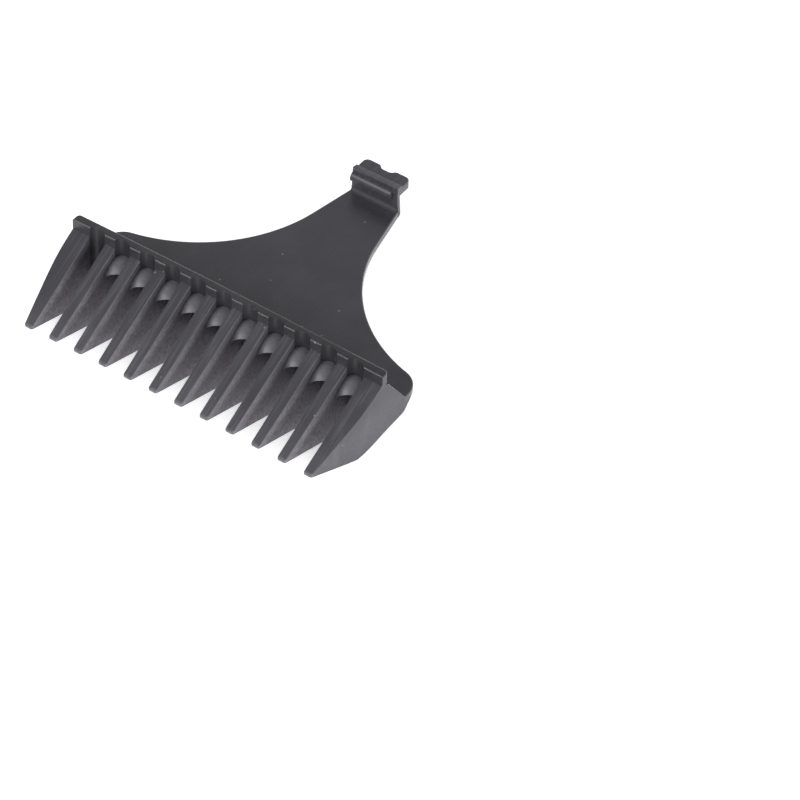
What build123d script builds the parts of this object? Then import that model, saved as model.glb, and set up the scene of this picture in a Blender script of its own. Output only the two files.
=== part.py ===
"""A clip-on clipper guard comb: one moulding, split into its named regions.

Millimetres. The origin is the centre of the blade seat, on the plate's top
face, midway between the front bar and the latch. +X runs along the bar, +Y
towards the latch, +Z up out of the seat. The teeth point to -Y.
"""

import math
import os

from build123d import *

os.makedirs("parts", exist_ok=True)

# Blade seat and plate
comb_width = 46.7
seat_length = 30.8
plate_thickness = 1.0
flank_radius = 21.4
flank_centre_x = 26.0
flank_centre_y = 12.95
ear_radius = 2.9
neck_width = 7.43
rim_round = 0.22

# Front bar
bar_depth = 1.25
bar_foot = 5.3
bar_top = 7.36
bar_bow = 0.25
bow = 0.4
bar_end_round = 0.5
bar_edge_round = 0.22

# Teeth
tooth_count = 12
root_pitch = 3.89
tip_pitch = 3.84
root_thickness = 1.53
tip_thickness = 1.22
tooth_reach = 12.04
strip_top = 5.8
tip_top = -0.56
tip_blunt = 0.26
tip_round = 0.35
heel_reach = 4.3
heel_depth = 3.28
tail_run = 6.45
strip_round = 0.13
end_tail_inner_x = 20.86
end_tip_inner_x = 20.5
end_tip_outer_x = 21.68

# Webs and their ledges
web_reach = 1.495
niche_depth = 0.6
arch_left = 2.45
arch_middle = 3.6
arch_right = 3.75
barrel_radius = 3.07
barrel_side_radius = 2.5
barrel_y = 0.3
barrel_z = 1.64

# Side cheeks
cheek_thickness = 1.5
cheek_run = 3.9
cheek_edge_round = 0.15

# Latch
riser_thickness = 0.5
riser_top = 1.85
riser_top_width = 7.05
hook_top = 3.8
hook_fall = 0.2
hook_depth = 1.0
lip_overhang = 0.62
lip_low = 2.01
lip_face = 0.25
lip_height = 1.05
lip_left = -3.5
lip_right = 2.65
tab_top = 3.35
tab_thickness = 1.15
tab_reach = 2.5
tab_width = 7.0
lobe_inner_x = 1.2
waist_half_width = 0.7
waist_depth = 0.55
lobe_round = 0.75
latch_gap = 0.02

half_width = comb_width / 2
bar_rear = -seat_length / 2
bar_front = bar_rear - bar_depth
plate_rear = seat_length / 2
cheek_inner = half_width - cheek_thickness
cheek_rear = bar_rear + cheek_run
strip_slope = (strip_top - tip_top) / tooth_reach
tip_y = bar_front - tooth_reach
tail_y = bar_front + tail_run


def lift(x):
    """How far the bowed front stands above its ends at a place along the bar."""
    return bow * (1 - (x / half_width) ** 2)


def arc_radius(chord, rise):
    """Radius of the arc that rises this far over this chord."""
    return (chord**2 / 4 + rise**2) / (2 * rise)


def bowed_line(height, rise):
    """An arc across the whole comb, from this height at its ends."""
    return ThreePointArc((-half_width, height), (0, height + rise), (half_width, height))


# The plate, waisted from the ears to the neck
with BuildPart() as carrier_plate:
    neck_half = neck_width / 2
    to_neck_x = flank_centre_x - neck_half
    to_neck_y = plate_rear - flank_centre_y
    to_neck = math.hypot(to_neck_x, to_neck_y)
    turn = math.atan2(to_neck_y, to_neck_x) - math.acos(flank_radius / to_neck)
    waist_x = flank_centre_x - flank_radius * math.cos(turn)
    waist_y = flank_centre_y + flank_radius * math.sin(turn)
    ear_x = half_width
    ear_y = flank_centre_y - math.sqrt(flank_radius**2 - (flank_centre_x - ear_x) ** 2)
    with BuildSketch():
        with BuildLine():
            right = Polyline(
                (0, bar_rear),
                (cheek_inner, bar_rear),
                (cheek_inner, cheek_rear),
                (ear_x, cheek_rear),
                (ear_x, ear_y),
                (waist_x, waist_y),
                (neck_half, plate_rear),
                (0, plate_rear),
            )
            mirror(right, about=Plane.YZ)
        make_face()
        with Locations((flank_centre_x, flank_centre_y), (-flank_centre_x, flank_centre_y)):
            Circle(flank_radius, mode=Mode.SUBTRACT)
        fillet(vertices().filter_by_position(Axis.Y, ear_y - 0.1, ear_y + 0.1), ear_radius)
    extrude(amount=-plate_thickness)
    flank = edges().filter_by_position(Axis.Y, cheek_rear + 0.2, plate_rear - 0.2)
    fillet(flank.filter_by_position(Axis.Z, -0.01, 0.01), rim_round)
carrier_plate.part.label = "carrier_plate"
export_step(carrier_plate.part, "parts/carrier_plate.step")

# The space the bowed front bar fills, cut out of everything beneath it
with BuildPart() as bar_space:
    with BuildSketch(Plane.XZ.offset(-bar_rear)):
        with BuildLine():
            foot = bowed_line(bar_foot, bow)
            Polyline(foot @ 1, (half_width, 9), (-half_width, 9), foot @ 0)
        make_face()
    extrude(amount=bar_depth)

# The bar across the front, with a niche over every gap
with BuildPart() as front_bar:
    with BuildSketch(Plane.XZ.offset(-bar_rear)):
        with BuildLine():
            foot = bowed_line(bar_foot, bow)
            top = bowed_line(bar_top, bar_bow)
            Line(foot @ 0, top @ 0)
            Line(foot @ 1, top @ 1)
        make_face()
    extrude(amount=bar_depth)
    fillet(edges().filter_by(Axis.Z).group_by(Axis.Y)[-1], bar_end_round)
    top_edges = edges().filter_by_position(Axis.Z, bar_top - 0.05, bar_top + bar_bow + 0.05)
    fillet(top_edges, bar_edge_round)
    gap_width = root_pitch - root_thickness
    niche_radius = arc_radius(gap_width, niche_depth)
    with BuildSketch(Plane.XY.offset(bar_foot - 1)):
        with GridLocations(root_pitch, 1, tooth_count - 1, 1):
            with Locations((0, bar_front + niche_depth - niche_radius)):
                Circle(niche_radius)
    extrude(amount=5, mode=Mode.SUBTRACT)
front_bar.part.label = "front_bar"
export_step(front_bar.part, "parts/front_bar.step")

# The teeth: a deep fin each, with a sloped strip on top and a blunt tip
teeth = []
tail = tail_run / tooth_reach
taper = (root_thickness - tip_thickness) / 2
for number in range(1, tooth_count + 1):
    place = number - 1 - (tooth_count - 1) / 2
    root_x = place * root_pitch
    tip_x = place * tip_pitch
    rise = lift(root_x)
    with BuildPart() as tooth:
        with BuildSketch(Plane.YZ):
            Polygon(
                (bar_rear, strip_top + rise + bar_depth * strip_slope),
                (tip_y, tip_top + rise),
                (tip_y + 0.03, tip_top - tip_blunt + rise),
                (bar_front - heel_reach, -heel_depth + rise),
                (bar_front + 0.4, -2.72 + rise),
                (bar_front + 5.0, -2.55 + rise),
                (tail_y, -plate_thickness),
                (bar_rear, -plate_thickness),
                align=None,
            )
            corners = vertices().filter_by_position(Axis.Y, -heel_depth - 0.1, -1.9)
            fillet(corners, 1.3)
        extrude(amount=comb_width, both=True)
        with BuildSketch(Plane.XY.offset(-8)):
            if 1 < number < tooth_count:
                Polygon(
                    (tip_x - tip_thickness / 2, tip_y),
                    (tip_x + tip_thickness / 2, tip_y),
                    (root_x + root_thickness / 2 + tail * (root_x - tip_x + taper), tail_y),
                    (root_x - root_thickness / 2 + tail * (root_x - tip_x - taper), tail_y),
                    align=None,
                )
            else:
                side = math.copysign(1, place)
                with BuildLine():
                    Polyline(
                        (side * half_width, bar_front),
                        (side * half_width, tail_y),
                        (side * end_tail_inner_x, tail_y),
                        (side * end_tip_inner_x, tip_y),
                        (side * end_tip_outer_x, tip_y),
                    )
                    Spline(
                        (side * end_tip_outer_x, tip_y),
                        (side * (half_width - 0.8), bar_front - 7.5),
                        (side * (half_width - 0.15), bar_front - 3.4),
                        (side * half_width, bar_front),
                        tangents=((side * 0.2, 1), (0, 1)),
                    )
                make_face()
            fillet(vertices().filter_by_position(Axis.Y, tip_y - 0.01, tip_y + 0.01), tip_round)
        extrude(amount=20, mode=Mode.INTERSECT)
        strip = faces().sort_by(Axis((0, bar_front, 0), (0, -strip_slope, 1)))[-1]
        fillet(strip.edges().filter_by_position(Axis.Y, bar_front - 20, bar_rear - 0.1), strip_round)
        add(bar_space.part, mode=Mode.SUBTRACT)
    tooth.part.label = f"tooth_{number:02d}"
    export_step(tooth.part, f"parts/tooth_{number:02d}.step")
    teeth.append(tooth.part)

# The webs between the teeth: the first is a plain wall, the rest carry a ledge.
# A ledge is the front of a barrel laid along the bar, hollowed below by a lopsided
# arch whose left foot reaches lower than its right.
for number in range(1, tooth_count):
    gap_x = (number - tooth_count / 2) * root_pitch
    left_x = gap_x - web_reach
    right_x = gap_x + web_reach
    with BuildPart() as web:
        with BuildSketch(Plane.XY.offset(-plate_thickness)):
            Polygon(
                (left_x, bar_front),
                (right_x, bar_front),
                (right_x, bar_rear),
                (left_x, bar_rear),
                align=None,
            )
            with Locations((gap_x, bar_front + niche_depth - niche_radius)):
                Circle(niche_radius, mode=Mode.SUBTRACT)
        extrude(amount=8)
        if number > 1:
            turn_axis = Plane((gap_x, bar_front + barrel_y, barrel_z + lift(gap_x)))
            with BuildPart(mode=Mode.PRIVATE) as ledge:
                with BuildSketch(turn_axis):
                    with BuildLine():
                        crown = ThreePointArc(
                            (-web_reach, -barrel_side_radius),
                            (0, -barrel_radius),
                            (web_reach, -barrel_side_radius),
                        )
                        Polyline(crown @ 1, (web_reach, 0), (-web_reach, 0), crown @ 0)
                    make_face()
                revolve(axis=Axis(turn_axis.origin, (1, 0, 0)))
                left_z, middle_z, right_z = (
                    height + lift(gap_x) for height in (arch_left, arch_middle, arch_right)
                )
                with BuildSketch(Plane.XZ.offset(-bar_rear)):
                    with BuildLine():
                        arch = ThreePointArc(
                            (gap_x - gap_width / 2, left_z),
                            (gap_x, middle_z),
                            (gap_x + gap_width / 2, right_z),
                        )
                        Polyline(
                            arch @ 1,
                            (gap_x + root_pitch, right_z),
                            (gap_x + root_pitch, 8),
                            (gap_x - root_pitch, 8),
                            (gap_x - root_pitch, left_z),
                            arch @ 0,
                        )
                    make_face()
                extrude(amount=bar_depth + barrel_radius, mode=Mode.INTERSECT)
            add(ledge.part)
        add([bar_space.part, teeth[number - 1], teeth[number]], mode=Mode.SUBTRACT)
    web.part.label = f"web_{number:02d}"
    export_step(web.part, f"parts/web_{number:02d}.step")

# The side cheeks, sloping from the bar down to the ears
for name, side in (("side_cheek_left", -1), ("side_cheek_right", 1)):
    with BuildPart() as cheek:
        with BuildSketch(Plane.YZ.offset(side * cheek_inner)):
            Polygon(
                (bar_rear, -plate_thickness),
                (cheek_rear, -plate_thickness),
                (cheek_rear, 0),
                (bar_rear, bar_foot),
                align=None,
            )
        extrude(amount=side * cheek_thickness)
        outer = edges().sort_by(Axis.X)[:4] if side < 0 else edges().sort_by(Axis.X)[-4:]
        fillet(outer.sort_by(SortBy.LENGTH)[-1], cheek_edge_round)
    cheek.part.label = name
    export_step(cheek.part, f"parts/{name}.step")

# The latch's riser stands behind the neck and narrows upward
riser_front = plate_rear + latch_gap
riser_rear = riser_front + riser_thickness
with BuildPart() as latch_riser:
    with BuildSketch(Plane.XZ.offset(-riser_rear)):
        Polygon(
            (-neck_width / 2, -plate_thickness),
            (neck_width / 2, -plate_thickness),
            (riser_top_width / 2, riser_top),
            (-riser_top_width / 2, riser_top),
            align=None,
        )
    extrude(amount=riser_thickness)
    heel = edges().filter_by(Axis.X).group_by(Axis.Z)[0].sort_by(Axis.Y)[-1]
    fillet(heel, riser_thickness - 0.05)
latch_riser.part.label = "latch_riser"
export_step(latch_riser.part, "parts/latch_riser.step")

# The hook: a cap across the riser, with a lip that snaps over the blade's edge
with BuildPart() as latch_hook:
    with BuildSketch(Plane.YZ):
        Polygon(
            (riser_front, riser_top),
            (riser_front, hook_top),
            (riser_front + hook_depth, hook_top - hook_fall),
            (riser_front + hook_depth, tab_top),
            (riser_rear, tab_top),
            (riser_rear, riser_top),
            align=None,
        )
        fillet(vertices().filter_by_position(Axis.Y, tab_top + 0.1, hook_top), 0.15)
    extrude(amount=riser_top_width / 2, both=True)
    with BuildSketch(Plane.YZ.offset(lip_left)):
        with BuildLine():
            brow = TangentArc(
                (riser_front - lip_overhang, lip_low + lip_face),
                (riser_front, lip_low + lip_height),
                tangent=(0, 1),
            )
            Polyline(
                brow @ 1,
                (riser_front, lip_low),
                (riser_front - lip_overhang, lip_low),
                brow @ 0,
            )
        make_face()
    extrude(amount=lip_right - lip_left)
latch_hook.part.label = "latch_hook"
export_step(latch_hook.part, "parts/latch_hook.step")

# The thumb tab behind the riser, with two lobes and a waist between them
with BuildPart() as thumb_tab:
    tab_rear = riser_rear + tab_reach
    with BuildSketch(Plane.XY.offset(tab_top - tab_thickness)):
        with BuildLine():
            lobe = Polyline(
                (0, riser_rear),
                (tab_width / 2, riser_rear),
                (tab_width / 2, tab_rear),
                (lobe_inner_x, tab_rear),
                (waist_half_width, tab_rear - waist_depth),
                (0, tab_rear - waist_depth),
            )
            mirror(lobe, about=Plane.YZ)
        make_face()
        bends = vertices().filter_by_position(Axis.Y, riser_rear + 1, tab_rear)
        fillet([bend for bend in bends if abs(bend.X) > 0.1], lobe_round)
    extrude(amount=tab_thickness)
    fillet(faces().sort_by(Axis.Z)[-1].edges().sort_by(Axis.Y)[1:], 0.15)
thumb_tab.part.label = "thumb_tab"
export_step(thumb_tab.part, "parts/thumb_tab.step")
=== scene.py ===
"""The clipper guard comb's looks: plastic, dust, painted light and shade, the latch's root, floor, lights and
camera.
"""

import math

import bpy
from mathutils import Matrix, Vector


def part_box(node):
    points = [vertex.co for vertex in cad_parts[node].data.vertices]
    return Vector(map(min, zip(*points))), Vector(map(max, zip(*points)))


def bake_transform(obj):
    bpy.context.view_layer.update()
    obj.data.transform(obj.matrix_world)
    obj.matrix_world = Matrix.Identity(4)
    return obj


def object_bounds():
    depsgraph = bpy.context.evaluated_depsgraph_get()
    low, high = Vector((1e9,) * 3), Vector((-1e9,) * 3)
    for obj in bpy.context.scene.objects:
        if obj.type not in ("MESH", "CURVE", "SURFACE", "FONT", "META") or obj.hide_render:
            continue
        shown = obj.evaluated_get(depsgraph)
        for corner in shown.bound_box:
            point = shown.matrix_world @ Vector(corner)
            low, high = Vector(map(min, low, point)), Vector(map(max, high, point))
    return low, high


MM = 0.001

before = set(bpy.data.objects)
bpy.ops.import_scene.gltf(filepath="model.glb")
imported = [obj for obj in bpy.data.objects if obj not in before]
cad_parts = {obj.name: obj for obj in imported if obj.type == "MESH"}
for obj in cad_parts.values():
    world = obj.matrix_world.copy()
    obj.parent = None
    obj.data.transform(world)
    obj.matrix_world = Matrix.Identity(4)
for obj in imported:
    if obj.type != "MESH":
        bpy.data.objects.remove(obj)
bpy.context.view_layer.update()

bar_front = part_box("front_bar")[0].y
bar_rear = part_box("front_bar")[1].y
tip_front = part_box("tooth_01")[0].y


# ---------------------------------------------------------------- materials
class Nodes:
    """A short way to write a material's node tree. A value is a number, a colour or (node, output)."""

    def __init__(self, name):
        self.material = bpy.data.materials.new(name)
        self.material.use_nodes = True
        self.tree = self.material.node_tree
        self.tree.nodes.clear()
        output = self.add("ShaderNodeOutputMaterial")
        self.shader = self.add("ShaderNodeBsdfPrincipled")
        self.link(self.shader, "BSDF", output, "Surface")
        self.where = self.add("ShaderNodeTexCoord")

    def add(self, kind, **settings):
        node = self.tree.nodes.new(kind)
        for key, setting in settings.items():
            setattr(node, key, setting)
        return node

    def link(self, source, output, target, socket):
        self.tree.links.new(source.outputs[output], target.inputs[socket])

    def feed(self, node, socket, value):
        """Gives an input socket its value."""
        if isinstance(value, tuple) and isinstance(value[0], bpy.types.Node):
            self.link(value[0], value[1], node, socket)
        else:
            node.inputs[socket].default_value = value

    def place(self, stretch, turn=0.0):
        """Object coordinates, squeezed, and turned about Z."""
        node = self.add("ShaderNodeMapping")
        self.link(self.where, "Object", node, "Vector")
        node.inputs["Scale"].default_value = stretch
        node.inputs["Rotation"].default_value = (0.0, 0.0, turn)
        return (node, "Vector")

    def apart(self, coordinate):
        """A node that gives a texture coordinate's X, Y and Z."""
        node = self.add("ShaderNodeSeparateXYZ")
        self.link(self.where, coordinate, node, "Vector")
        return node

    def noise(self, kind, place=None):
        node = self.add("ShaderNodeTexNoise")
        self.feed(node, "Vector", place or (self.where, "Object"))
        for socket, setting in zip(("Scale", "Detail", "Roughness"), kind):
            node.inputs[socket].default_value = setting
        return (node, "Fac")

    def spots(self, scale, radius, share):
        """Small round grains, one each in this share of a grid's cells."""
        cells = self.add("ShaderNodeTexVoronoi")
        self.link(self.where, "Object", cells, "Vector")
        cells.inputs["Scale"].default_value = scale
        near = self.span((cells, "Distance"), radius, radius * 0.5)
        split = self.add("ShaderNodeSeparateColor")
        self.link(cells, "Color", split, "Color")
        return self.math("MULTIPLY", near, self.math("LESS_THAN", (split, "Red"), share))

    def math(self, operation, a, b=0.0):
        node = self.add("ShaderNodeMath", operation=operation)
        self.feed(node, 0, a)
        self.feed(node, 1, b)
        return (node, "Value")

    def span(self, value, start, end, at_start=0.0, at_end=1.0):
        """Goes smoothly from at_start to at_end while the value goes from start to end, and stops there."""
        node = self.add("ShaderNodeMapRange", interpolation_type="SMOOTHSTEP")
        for socket, part in enumerate((value, start, end, at_start, at_end)):
            self.feed(node, socket, part)
        return (node, "Result")

    def between(self, kind, sockets, a, b, factor):
        """A Mix node: sockets are the numbers of its two inputs and its output for that kind of value."""
        node = self.add("ShaderNodeMix", data_type=kind)
        self.feed(node, 0, factor)
        self.feed(node, sockets[0], a)
        self.feed(node, sockets[1], b)
        return (node, sockets[2])

    def blend(self, a, b, factor):
        """Between two numbers."""
        return self.between("FLOAT", (2, 3, 0), a, b, factor)

    def mix(self, a, b, factor):
        """Between two colours."""
        return self.between("RGBA", (6, 7, 2), a, b, factor)


# Colours of the plastic, as moulded and as used, and of the dust on it; some also paint light and shade
PLASTIC = (0.034, 0.033, 0.039, 1.0)
# Painted shade: the bar and webs are darker ahead of the bar's back, which darkens their niches and the walls
# under the ledges
SHADED_FRONT = (0.020, 0.0195, 0.0225, 1.0)
SCUFFED = (0.070, 0.068, 0.075, 1.0)
# Lighter plastic: painted light on the ledges, and wear with a painted highlight at the teeth's tips
RUBBED_AND_LIT = (0.130, 0.127, 0.136, 1.0)
# Dust, which on the gaps' walls also paints their light and shade
DUST_AND_LIGHT = (0.27, 0.247, 0.283, 1.0)

# Noises: scale per metre, layers of detail, and how much the finer layers count
CLOUD = (150.0, 4.0, 0.55)
GRAIN = (3400.0, 3.0, 0.7)
CRUMBS = (2300.0, 4.0, 0.85)
STREAKS = (3000.0, 3.0, 0.6)
HAIRS = (2400.0, 2.0, 0.5)

# Stretches that draw a noise out into lines: along the teeth, and askew across the comb
STREAK_STRETCH = (1.0, 0.035, 0.05)
HAIR_STRETCH = (1.0, 0.012, 0.4)
HAIR_TURN = 0.6

# Specks of dust: scale per metre, radius in cells, the share of cells with one, and its strength
SPECK_SCALE = 520.0
SPECK_RADIUS = 0.08
SPECK_SHARE = 0.8
SPECK_STRENGTH = 5.0

PLATE_ROUGH = 0.26
PLASTIC_IOR = 1.5
RELIEF_DEPTH = 0.012 * MM

# Distances from the comb's middle: every gap's walls lie within the first, and the end walls, all but
# their very tips, past the second
GAPS_WITHIN = 21.4 * MM
END_WALL_PAST = 21.9 * MM

# Heights above the seat: the dust on the gaps' walls is thin above the first and full below the second, a
# painted shade near the top of the walls and a painted light low down
SHADED_WALL_ABOVE = 4.2 * MM
LIT_WALL_BELOW = 0.6 * MM

# Distances back from the tips: the thinner dust, a painted shade that offsets the floor's light on the walls
# there, the wear, and where the nose's wear and painted highlight start and are full
TIP_DUST_SHADE_BACK = 8.0 * MM
WEAR_BACK = 5.0 * MM
NOSE_WEAR_AND_HIGHLIGHT_BACK = 0.45 * MM
NOSE_WEAR_AND_HIGHLIGHT_FULL = 0.25 * MM


def flank_dust_and_shade(m, side, spot, amount):
    """Dust on the gaps' walls, which also paints their light and shade: thin near the top, where the bar and
    ledges shade the walls, thinner at the tips and very thin on the end walls, to offset the floor's and
    lamps' light there, and full low in the gaps, where the floor's light falls.
    """
    # Painted shade: very thin on the end walls, to offset the light there
    inside = m.span(m.math("ABSOLUTE", (spot, "X")), GAPS_WITHIN, END_WALL_PAST, 1.0, 0.12)
    # Painted shade near the top of the walls, painted light low down
    deep = m.span((spot, "Z"), SHADED_WALL_ABOVE, LIT_WALL_BELOW, 0.2, 1.0)
    # Painted shade: thinner towards the tips, to offset the floor's light there
    back = m.span((spot, "Y"), tip_front + TIP_DUST_SHADE_BACK, tip_front, amount, 0.4 * amount)
    flank = m.math("MULTIPLY", m.math("MULTIPLY", side, inside), m.math("MULTIPLY", deep, back))
    return m.math("MULTIPLY", m.span(m.noise(CRUMBS), 0.36, 0.62, 0.4, 1.0), flank)


def ledge_painted_light(m, facing, spot, grain, amount):
    """Painted light on what lies ahead of the bar or faces up: the ledges are made lighter, with a grain."""
    ahead = m.span((spot, "Y"), bar_front - 0.05 * MM, bar_front - 0.5 * MM)
    upward = m.span((facing, "Z"), 0.05, 0.3)
    ledge = m.math("MULTIPLY", m.math("MAXIMUM", ahead, upward), amount)
    return m.math("MULTIPLY", ledge, m.span(grain, 0.3, 0.65, 0.72, 1.0))


def tip_wear_and_highlight(m, spot, grain, amount):
    """Rubbing on the teeth's front ends, with a painted highlight on the nose of each, where it is strongest.
    """
    tip = m.span((spot, "Y"), tip_front + WEAR_BACK, tip_front, 0.0, 0.2 * amount)
    # Painted highlight on the nose, broken by grain
    nose = m.span((spot, "Y"), tip_front + NOSE_WEAR_AND_HIGHLIGHT_BACK, tip_front + NOSE_WEAR_AND_HIGHLIGHT_FULL, 0.0, amount)
    return m.math("MAXIMUM", tip, m.math("MULTIPLY", nose, m.span(grain, 0.3, 0.6, 0.2, 0.9)))


def moulded_plastic(
    name,
    base=PLASTIC,
    rough=PLATE_ROUGH,
    side_rough=0.3,
    scuffs=0.05,
    dust=0.12,
    dust_wear_and_light=0.0,
    ledge_lightening=0.0,
    matt=0.0,
    front_only=False,
):
    """Black moulded plastic with a cloudy gloss, grain, hairlines, streaky scuffs, a little dust, and painted
    light and shade.

    side_rough is the roughness of the faces square to X, powdered the dust, with its painted light and shade,
    and the relief on those faces and the wear and painted highlight of the tips, rubbed the painted light on
    the ledges, and matt the roughness that upright faces gain.
    With front_only, base, rough, scuffs and matt end at the bar's back, where the plate's look takes over.
    """
    m = Nodes(name)
    cloud = m.noise(CLOUD)
    grain = m.noise(GRAIN)
    streaks = m.noise(STREAKS, m.place(STREAK_STRETCH))
    hairs = m.noise(HAIRS, m.place(HAIR_STRETCH, HAIR_TURN))
    facing = m.apart("Normal")
    spot = m.apart("Object")
    side = m.span(m.math("ABSOLUTE", (facing, "X")), 0.8, 0.97)
    upright = m.span(m.math("ABSOLUTE", (facing, "Z")), 0.3, 0.05, 0.0, matt)
    front = 1.0
    if front_only:
        front = m.span((spot, "Y"), bar_rear - 0.1 * MM, bar_rear - 0.5 * MM)

    scuff = m.math("MULTIPLY", m.span(streaks, 0.47, 0.66), m.math("MULTIPLY", front, scuffs))
    ledge = ledge_painted_light(m, facing, spot, grain, ledge_lightening)
    tone = m.mix(PLASTIC, base, front)
    tone = m.mix(tone, SCUFFED, m.math("ADD", scuff, m.span(cloud, 0.35, 0.75, 0.0, 0.2)))
    # Painted light on the ledges, and wear with a painted highlight at the tips
    tone = m.mix(tone, RUBBED_AND_LIT, m.math("MAXIMUM", ledge, tip_wear_and_highlight(m, spot, grain, dust_wear_and_light)))

    film = m.math("MULTIPLY", m.span(grain, 0.6, 0.8), dust)
    specks = m.math("MULTIPLY", m.spots(SPECK_SCALE, SPECK_RADIUS, SPECK_SHARE), dust * SPECK_STRENGTH)
    # Dust, which on the gaps' walls also paints their light and shade
    grit_and_shade = m.math("MAXIMUM", m.math("MAXIMUM", flank_dust_and_shade(m, side, spot, dust_wear_and_light), film), specks)
    m.feed(m.shader, "Base Color", m.mix(tone, DUST_AND_LIGHT, grit_and_shade))

    roughness = m.blend(m.blend(PLATE_ROUGH, rough, front), side_rough, side)
    for change in (
        m.span(cloud, 0.3, 0.7, -0.03, 0.04),
        m.math("MULTIPLY", m.span(hairs, 0.6, 0.75), 0.05),
        m.math("MULTIPLY", upright, front),
        m.math("MULTIPLY", ledge, 0.2),
        m.math("MULTIPLY", scuff, 0.1),
    ):
        roughness = m.math("ADD", roughness, change)
    m.feed(m.shader, "Roughness", roughness)

    relief = m.add("ShaderNodeBump")
    relief.inputs["Distance"].default_value = RELIEF_DEPTH
    m.feed(relief, "Strength", m.math("ADD", 0.10, m.math("MULTIPLY", side, dust_wear_and_light)))
    m.feed(relief, "Height", m.math("ADD", grain, m.math("MULTIPLY", specks, 1.5)))
    m.link(relief, "Normal", m.shader, "Normal")
    m.shader.inputs["IOR"].default_value = PLASTIC_IOR
    return m.material


plate_finish = moulded_plastic("moulded_plate", side_rough=0.16)
tooth_finish = moulded_plastic(
    "moulded_teeth", rough=0.34, side_rough=0.55, scuffs=0.6, dust_wear_and_light=1.0, front_only=True
)
# The webs and bar are darker ahead of the bar's back, a painted shade for their niches and the walls under
# the ledges, and the webs' ledges get a painted light
web_finish = moulded_plastic(
    "moulded_webs", base=SHADED_FRONT, rough=0.24, ledge_lightening=1.0, matt=0.08, front_only=True
)
bar_finish = moulded_plastic("moulded_bar", base=SHADED_FRONT, rough=0.24, matt=0.08, front_only=True)
latch_finish = moulded_plastic("moulded_latch", rough=0.40, scuffs=0.5)
root_finish = moulded_plastic("moulded_root", rough=0.65, scuffs=0.0, dust=0.05)

# The finish of each node, by the first word of its name
finishes = {
    "carrier": plate_finish,
    "front": bar_finish,
    "tooth": tooth_finish,
    "side": tooth_finish,
    "web": web_finish,
    "latch": latch_finish,
    "thumb": latch_finish,
}
for name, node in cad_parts.items():
    node.data.materials.clear()
    node.data.materials.append(finishes[name.split("_")[0]])

# ---------------------------------------------------------------- latch root
# The hollow fillet's radius, its flats and its depth into the plate, and how far it and the neck stop short
# of the riser's sides
COVE_RADIUS = 0.55 * MM
COVE_STEPS = 10
COVE_SINK = 0.01 * MM
COVE_INSET = 0.14 * MM
NECK_INSET = 0.01 * MM


def bent_strip(name, profile, half_width, spans=48):
    """A closed YZ profile drawn across the latch, which bends from the comb's end to the latch's."""
    corners = len(profile)
    points = []
    for i in range(spans + 1):
        x = -half_width + 2 * half_width * i / spans
        points += [(x, y, z) for y, z in profile]
    faces = []
    for i in range(spans):
        here, there = i * corners, (i + 1) * corners
        for j in range(corners):
            k = (j + 1) % corners
            faces.append((here + j, here + k, there + k, there + j))
    faces += [tuple(range(corners)), tuple(spans * corners + j for j in reversed(range(corners)))]
    mesh = bpy.data.meshes.new(name)
    mesh.from_pydata(points, [], faces)
    mesh.polygons.foreach_set("use_smooth", [len(face) == 4 for face in faces])
    mesh.materials.append(root_finish)
    piece = bpy.data.objects.new(name, mesh)
    bpy.context.scene.collection.objects.link(piece)
    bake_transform(piece)


def latch_root():
    """The one moulding's plastic where the riser grows out of the plate: a hollow fillet and a neck."""
    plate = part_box("carrier_plate")
    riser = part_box("latch_riser")
    bottom, top = plate[0].z, plate[1].z
    plate_end, riser_front = plate[1].y, riser[0].y
    cove_front = riser_front - COVE_RADIUS
    half_width = (riser[1].x - riser[0].x) / 2
    cove = []
    for i in range(COVE_STEPS + 1):
        angle = math.pi / 2 * i / COVE_STEPS
        y = cove_front + COVE_RADIUS * math.sin(angle)
        z = top + COVE_RADIUS * (1 - math.cos(angle))
        cove.append((y, z))
    cove += [(riser_front, top - COVE_SINK), (cove_front, top - COVE_SINK)]
    bent_strip("latch_root", cove, half_width - COVE_INSET)
    neck = [(riser_front, top), (riser_front, bottom), (plate_end, bottom), (plate_end, top)]
    bent_strip("latch_neck", neck, half_width - NECK_INSET)


latch_root()
low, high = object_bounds()

# ---------------------------------------------------------------- floor
# The comb rests on its teeth's heels, this far behind the tips, and on the plate's neck, so the floor is
# tilted a little. It lies a hair below them.
HEEL_BACK = 7.8 * MM
FLOOR_GAP = 0.02 * MM
FLOOR_HALF = 1.2
PAPER = (0.9, 0.9, 0.9, 1)
PAPER_ROUGH = 0.8
PAPER_GLOW = 0.5

heel_y = tip_front + HEEL_BACK
heel_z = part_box("tooth_01")[0].z
neck_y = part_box("carrier_plate")[1].y
neck_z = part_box("carrier_plate")[0].z
floor_tilt = math.atan2(neck_z - heel_z, neck_y - heel_y)

floor_mesh = bpy.data.meshes.new("floor")
floor_corners = [(x * FLOOR_HALF, y * FLOOR_HALF, 0) for x, y in ((-1, -1), (1, -1), (1, 1), (-1, 1))]
floor_mesh.from_pydata(floor_corners, [], [(0, 1, 2, 3)])
floor = bpy.data.objects.new("floor", floor_mesh)
bpy.context.scene.collection.objects.link(floor)
floor_place = Matrix.Translation((0, heel_y, heel_z - FLOOR_GAP))
floor.matrix_world = floor_place @ Matrix.Rotation(floor_tilt, 4, "X")

paper = Nodes("floor_paper")
paper.shader.inputs["Base Color"].default_value = PAPER
paper.shader.inputs["Roughness"].default_value = PAPER_ROUGH
paper.shader.inputs["Emission Color"].default_value = (1, 1, 1, 1)
paper.shader.inputs["Emission Strength"].default_value = PAPER_GLOW
floor_mesh.materials.append(paper.material)

# ---------------------------------------------------------------- lights
# The sky's strength falls from the first to the second as the Z of a unit direction goes through the heights.
SKY_COLOUR = (0.97, 0.98, 1.0, 1)
SKY_HEIGHTS = (0.15, 0.80)
SKY_STRENGTHS = (1.25, 0.38)

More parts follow.
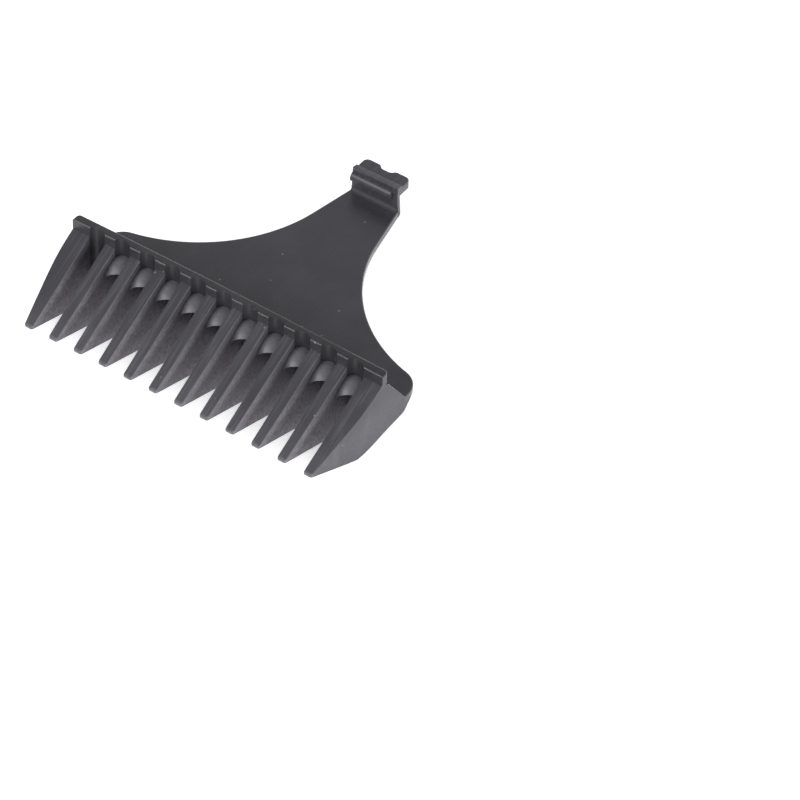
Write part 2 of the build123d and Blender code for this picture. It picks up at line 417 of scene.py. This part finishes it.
bpy.context.scene.view_settings.view_transform = "Standard"
world = bpy.data.worlds.new("studio")
bpy.context.scene.world = world
world.use_nodes = True
sky = world.node_tree
background = sky.nodes["Background"]
around = sky.nodes.new("ShaderNodeTexCoord")
height = sky.nodes.new("ShaderNodeSeparateXYZ")
fade = sky.nodes.new("ShaderNodeMapRange")
sky.links.new(around.outputs["Generated"], height.inputs[0])
sky.links.new(height.outputs["Z"], fade.inputs[0])
for socket, value in enumerate(SKY_HEIGHTS + SKY_STRENGTHS, start=1):
    fade.inputs[socket].default_value = value
sky.links.new(fade.outputs[0], background.inputs["Strength"])
background.inputs["Color"].default_value = SKY_COLOUR


def soft_box(name, place, aim, size, power):
    """A soft rectangular light, with its place, aim and size in metres and its power in watts."""
    light = bpy.data.lights.new(name, "AREA")
    light.shape = "RECTANGLE"
    light.size, light.size_y = size
    light.energy = power
    lamp = bpy.data.objects.new(name, light)
    bpy.context.scene.collection.objects.link(lamp)
    lamp.location = place
    lamp.rotation_euler = (Vector(aim) - Vector(place)).to_track_quat("-Z", "Y").to_euler()


centre = (Vector(low) + Vector(high)) / 2
soft_box("front_left", (-0.20, -0.38, 0.26), centre, (0.34, 0.22), 1.3)
soft_box("right", (0.42, -0.02, 0.19), centre, (0.34, 0.16), 1.4)

# ---------------------------------------------------------------- camera
# The photo's viewpoint, found by matching the comb's shape: angles in degrees, the rest in millimetres
AZIMUTH = 32.76
ELEVATION = 45.16
ROLL = 2.62
LENS = 144.0
SENSOR = 36.0
CAMERA_PLACE = (170.11, -240.74, 273.07)

azimuth, elevation, roll = (math.radians(angle) for angle in (AZIMUTH, ELEVATION, ROLL))
flat = math.cos(elevation)
forward = Vector((-math.sin(azimuth) * flat, math.cos(azimuth) * flat, -math.sin(elevation)))
right = Vector((math.cos(azimuth), math.sin(azimuth), 0))
up = right.cross(forward)
across = right * math.cos(roll) + up * math.sin(roll)
upward = up * math.cos(roll) - right * math.sin(roll)

camera_data = bpy.data.cameras.new("camera")
camera_data.lens = LENS
camera_data.sensor_width = SENSOR
camera_data.clip_start = 0.01
camera = bpy.data.objects.new("camera", camera_data)
bpy.context.scene.collection.objects.link(camera)
camera_turn = Matrix((across, upward, -forward)).transposed().to_4x4()
camera.matrix_world = Matrix.Translation(Vector(CAMERA_PLACE) * MM) @ camera_turn
bpy.context.scene.camera = camera
